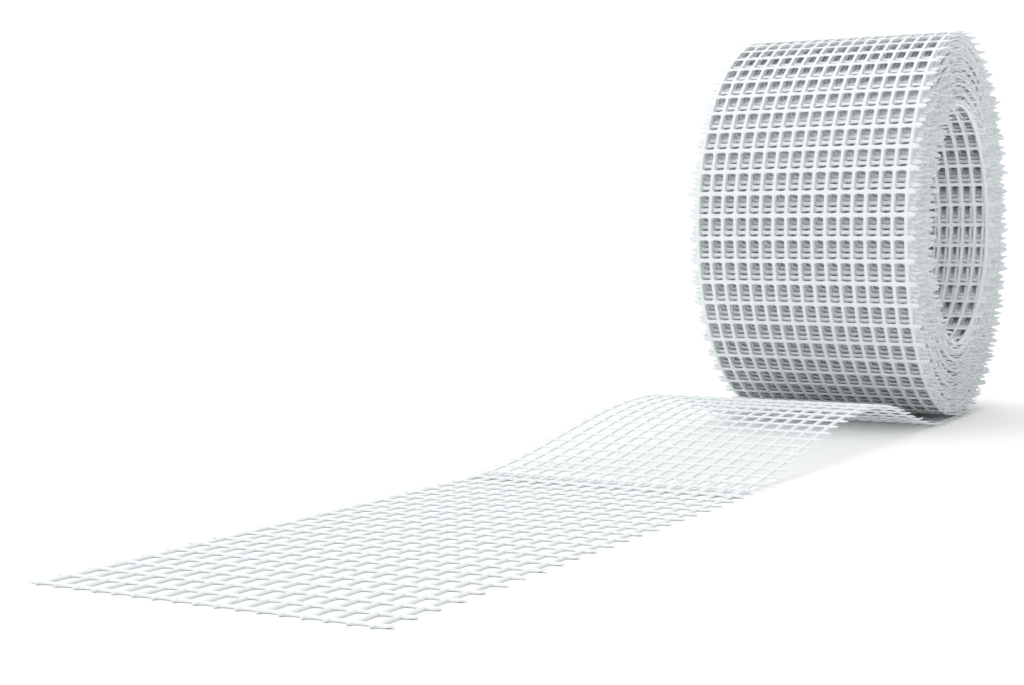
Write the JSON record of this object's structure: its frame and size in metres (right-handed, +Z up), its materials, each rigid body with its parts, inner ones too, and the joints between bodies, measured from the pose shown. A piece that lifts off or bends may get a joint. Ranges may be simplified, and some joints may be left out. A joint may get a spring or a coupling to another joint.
{
  "type": "roll of fiberglass mesh",
  "caption": "Roll of open fiberglass joint mesh tape lying on its rim, with the free end pulled out over a low hump and flat along the floor.",
  "frame": {"origin": "on the floor right under the roll's axis, at the middle of the tape's width", "axes": "+X along the roll's axis, +Y away from the free end, +Z up"},
  "size_m": [0.05, 0.2961, 0.0899],
  "materials": {
    "coated_glass_strand": "white resin-coated glass strand, satin"
  },
  "bodies": {
    "root": {"mesh_tape_roll": "coated_glass_strand"}
  },
  "joints": []
}
